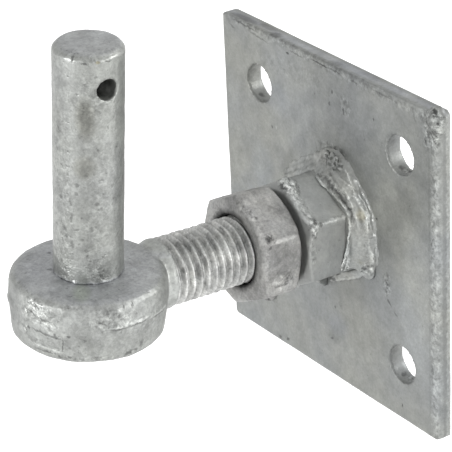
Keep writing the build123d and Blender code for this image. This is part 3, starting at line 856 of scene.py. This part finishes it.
def threaded_shank():
    """The shank: one turn of rounded thread drawn point by point, swept along it and cut square."""
    depth = thread_crest - thread_root
    foot = thread_root + 0.1 * depth
    shoulder = thread_root + 0.75 * depth
    groove = ((thread_root, 0), (foot, 0.12), (shoulder, 0.3), (thread_crest, 0.42),
              (thread_crest, 0.58), (shoulder, 0.7), (foot, 0.88), (thread_root, 1))
    bpy.ops.object.select_all(action="DESELECT")
    bpy.ops.mesh.primitive_plane_add(size=mm, location=(thread_root, 0, 0))
    shank = bpy.context.object
    shank.name = "threaded_shank"
    bpy.ops.object.mode_set(mode="EDIT")
    bpy.ops.mesh.select_all(action="SELECT")
    bpy.ops.mesh.merge(type="CENTER")
    for (radius, share), (next_radius, next_share) in zip(groove, groove[1:]):
        step = (next_radius - radius, 0, (next_share - share) * thread_pitch)
        bpy.ops.mesh.extrude_region_move(TRANSFORM_OT_translate={"value": step})
    bpy.ops.object.mode_set(mode="OBJECT")
    bpy.ops.object.transform_apply()
    turns = int((thread_end - shank_end) / thread_pitch) + 3
    apply_modifier(shank, "SCREW", angle=2 * pi, screw_offset=thread_pitch, iterations=turns,
                   steps=thread_steps, render_steps=thread_steps, use_merge_vertices=True,
                   merge_threshold=merge_reach)
    merge_points(shank)
    first_cut = 1.5 * thread_pitch
    last_cut = first_cut + thread_end - shank_end
    bpy.ops.object.mode_set(mode="EDIT")
    cut((0, 0, first_cut), (0, 0, 1), clear_inner=True)
    cut((0, 0, last_cut), (0, 0, 1), clear_outer=True)
    bpy.ops.mesh.select_all(action="SELECT")
    bpy.ops.mesh.normals_make_consistent(inside=False)
    bpy.ops.object.mode_set(mode="OBJECT")
    laid_along = turned(hook_right, screw_direction.cross(hook_right), screw_direction).to_4x4()
    shank.data.transform(Matrix.Translation(screw_direction * (shank_end - first_cut)) @ laid_along)
    roughen(shank, "thread_lumps", 2.2 * mm, 0.45 * mm, middle=0.65)
    bpy.ops.object.shade_smooth_by_angle(angle=radians(60))
    return shank


def forged_eye():
    """The eye with its plain neck: its solid cut off at the thread, with drops, dipped and hammered."""
    eye = copy_solid("eye_bolt", "forged_eye")
    bpy.ops.object.mode_set(mode="EDIT")
    cut(screw_direction * neck_start, screw_direction, clear_inner=True)
    bpy.ops.object.mode_set(mode="OBJECT")
    add_drops(eye, hook_drops(eye_drops))
    dip(eye, fine_step, ((5, 0.35), (1.8, 0.12)), softening=4)
    return eye


def weld_bead():
    """The weld: its solid melted smooth, with lines of filler and drops run together over it."""
    bead = copy_solid("nut_weld", "weld_bead")
    apply_modifier(bead, "REMESH", mode="VOXEL", voxel_size=fine_step)
    apply_modifier(bead, "SMOOTH", factor=0.5, iterations=melt_rounds)
    apply_modifier(bead, "DISPLACE", strength=weld_swelling, mid_level=0.0)
    for thickness, shade, points in weld_lines:
        add_drops(bead, line_of_drops(thickness, points))
    add_drops(bead, face_drops(weld_drops) + crust(*weld_crown))
    dip(bead, fine_step, ((4, 0.3), (1.6, 0.16)), softening=2)
    return bead


# Studio and camera

def lamp(name, angle, elevation, size, power):
    """A soft box that faces the hook, placed by its angle from X towards Y and its elevation."""
    angle, elevation = radians(angle), radians(elevation)
    place = lamp_target + lamp_distance * Vector((cos(angle) * cos(elevation), sin(angle) * cos(elevation),
                                                  sin(elevation)))
    box = bpy.data.lights.new(name, "AREA")
    box.shape = "SQUARE"
    box.size = size
    box.energy = power
    holder = add_object(name, box)
    holder.location = place
    holder.rotation_euler = (lamp_target - place).to_track_quat("-Z", "Y").to_euler()


def maths(tree, operation, *values):
    """Works on values, each of which is a number or a socket."""
    node = tree.nodes.new("ShaderNodeMath")
    node.operation = operation
    for socket, value in zip(node.inputs, values):
        if isinstance(value, float):
            socket.default_value = value
        else:
            tree.links.new(value, socket)
    return node.outputs[0]


def seen_rays(tree):
    """A value of 1 for the rays that show the background: camera, glossy and transmission."""
    path = tree.nodes.new("ShaderNodeLightPath").outputs
    mirrored = maths(tree, "MAXIMUM", path["Is Camera Ray"], path["Is Glossy Ray"])
    return maths(tree, "MAXIMUM", mirrored, path["Is Transmission Ray"])


def surroundings():
    """A white background that the metal shows too, with a dimmer light of its own on the metal."""
    world = bpy.data.worlds.new("surroundings")
    bpy.context.scene.world = world
    world.use_nodes = True
    tree = world.node_tree
    strength = tree.nodes.new("ShaderNodeMix")
    tree.links.new(seen_rays(tree), strength.inputs[0])
    strength.inputs[2].default_value = room_light
    strength.inputs[3].default_value = 1.0
    tree.links.new(strength.outputs[0], tree.nodes["Background"].inputs["Strength"])
    tree.nodes["Background"].inputs["Color"].default_value = (1, 1, 1, 1)


def pale_floor():
    """A pale floor under the object, which shows white and takes the faint shadow."""
    bpy.ops.object.select_all(action="DESELECT")
    bpy.ops.mesh.primitive_plane_add(size=floor_width, location=(0, 0, solid_box[0].z - floor_drop))
    floor = bpy.context.object
    floor.name = "studio_floor"
    finish = bpy.data.materials.new("pale_floor")
    finish.use_nodes = True
    tree = finish.node_tree
    surface = tree.nodes["Principled BSDF"]
    surface.inputs["Base Color"].default_value = (floor_grey, floor_grey, floor_grey, 1)
    surface.inputs["Roughness"].default_value = 1.0
    surface.inputs["Specular IOR Level"].default_value = 0.0
    surface.inputs["Emission Color"].default_value = (1, 1, 1, 1)
    tree.links.new(maths(tree, "MULTIPLY", seen_rays(tree), floor_lift), surface.inputs["Emission Strength"])
    floor.data.materials.append(finish)


def camera():
    """The camera, standing and turned as it was for the photograph."""
    view = bpy.data.cameras.new("camera")
    view.sensor_width = sensor_width
    view.lens = focal_pixels * sensor_width / picture_width
    view.clip_start = nearest_seen
    view.clip_end = farthest_seen
    holder = add_object("camera", view)
    turn = turned(camera_right, camera_up, camera_right.cross(camera_up))
    holder.matrix_world = Matrix.Translation(camera_place) @ turn.to_4x4()
    bpy.context.scene.camera = holder


# Each finish has two tints, the size of their patches in millimetres, and its ranges of shade and
# gloss. Rings of painted shade round the screw, in the lock nut's bore and the thread's roots, go from
# one radius and shade to another
plate_zinc = zinc("plate_zinc", (0.232, 0.242, 0.241), (0.242, 0.247, 0.230), patch=24, spangle=0.04,
                  grains=(0.88, 1.12), mottle=(0.87, 1.12), specks=0.73,
                  # among these are painted shade in the fixing holes and painted light on the top edge
                  marks=face_marks(plate_marks) + hole_wall_shade_and_spots() + proud_marks(edge_streaks_and_top_light) + shear_mark(),
                  flecked=proud_marks(plate_flecks))
nut_zinc = zinc("nut_zinc", (0.31, 0.32, 0.315), (0.32, 0.325, 0.31), spangle=0.03, metal=0.35,
                grains=(0.93, 1.07),
                # the band is painted shade in the slit between the nuts
                marks=nut_marks(weld_nut_marks) + painted_light_band(distance=24.4, half_width=1.3, shade=0.15),
                flecked=nut_marks(weld_nut_flecks))
lock_nut_zinc = zinc("lock_nut_zinc", (0.27, 0.27, 0.265), (0.32, 0.317, 0.305), patch=7, metal=0.35,
                     mottle=(0.7, 1.25), grains=(0.76, 1.22), rough=(0.48, 0.66), relief=0.2,
                     # the band is painted shade in the slit between the nuts
                     marks=nut_marks(lock_nut_marks) + painted_light_band(distance=24.0, half_width=1.9, shade=0.15),
                     # the ring is painted shade in the lock nut's bore
                     flecked=nut_marks(lock_nut_flecks), shade_rings_round_screw=((10.4, 12.4, 0.06, 1.12),))
weld_zinc = zinc("weld_zinc", (0.272, 0.283, 0.277), (0.287, 0.291, 0.273), patch=10, spangle=0.04,
                 # painted shade in the weld's grooves and web, and painted highlights on its crests
                 rough=(0.3, 0.46), marks=proud_marks(weld_shade_and_marks) + crest_highlights(),
                 flecked=proud_marks(weld_flecks))
thread_zinc = zinc("thread_zinc", (0.44, 0.445, 0.435), (0.52, 0.522, 0.505), patch=4, spangle=0.14,
                   mottle=(0.66, 1.28), grains=(0.72, 1.25), rough=(0.35, 0.5), metal=0.6, specks=0.64,
                   # the ring is painted shade in the thread's roots, lighter at the crests
                   marks=nut_marks(thread_marks), shade_rings_round_screw=((8.5, 9.8, 0.7, 1.08),))
eye_zinc = zinc("eye_zinc", (0.285, 0.293, 0.285), (0.295, 0.303, 0.288), spangle=0.12,
                rough=(0.42, 0.56), metal=0.6, mottle=(0.84, 1.14), specks=0.67,
                marks=(round_marks(eye_marks, eye_radius) + level_marks(tops_light_and_marks)
                       # the band is a painted highlight on the neck
                       + painted_light_band(distance=64.6, half_width=2.6, shade=1.35)),
                flecked=round_marks(eye_flecks, eye_radius))
pin_zinc = zinc("pin_zinc", (0.27, 0.278, 0.272), (0.28, 0.288, 0.273), spangle=0.12, rough=(0.31, 0.45),
                metal=0.62, mottle=(0.82, 1.15), edge=1.0, specks=0.65,
                # the last one is painted shade in the cross hole
                marks=round_marks(pin_marks, pin_radius) + level_marks(tops_light_and_marks) + painted_cross_hole_shade(),
                flecked=round_marks(pin_flecks, pin_radius))

plate = dipped("back_plate", "dipped_plate", face_drops(plate_drops) + crust(*plate_corner) + hole_lips(),
               plate_step, ((14, 0.16), (3, 0.06)), softening=2)
seat(plate, plate_zinc, "plate", "back_plate", "back_plate")

weld_nut = dipped("weld_nut", "welded_nut", nut_drops(weld_nut_drops), fine_step,
                  ((4, 0.25), (1.6, 0.07)), softening=3)
seat(weld_nut, nut_zinc, "plate", "weld_nut", "weld_nut")

bead = weld_bead()
seat(bead, weld_zinc, "plate", "nut_weld", "nut_weld")

lock_nut = dipped("lock_nut", "locking_nut", nut_drops(lock_nut_drops), fine_step,
                  ((4, 0.4), (1.5, 0.12)), softening=14)
seat(lock_nut, lock_nut_zinc, "lock_nut", "lock_nut", "lock_nut")

shank = threaded_shank()
seat(shank, thread_zinc, "hook", "eye_bolt")

eye = forged_eye()
seat(eye, eye_zinc, "hook", "eye_bolt", "eye_bolt")

pin = dipped("hinge_pin", "gate_pin", hook_drops(pin_drops), pin_step, ((6, 0.22), (1.6, 0.08)),
             softening=6)
seat(pin, pin_zinc, "hook", "hinge_pin", "hinge_pin")

surroundings()
pale_floor()
for settings in lamps:
    lamp(*settings)
camera()

scene = bpy.context.scene
scene.view_settings.view_transform = "Standard"
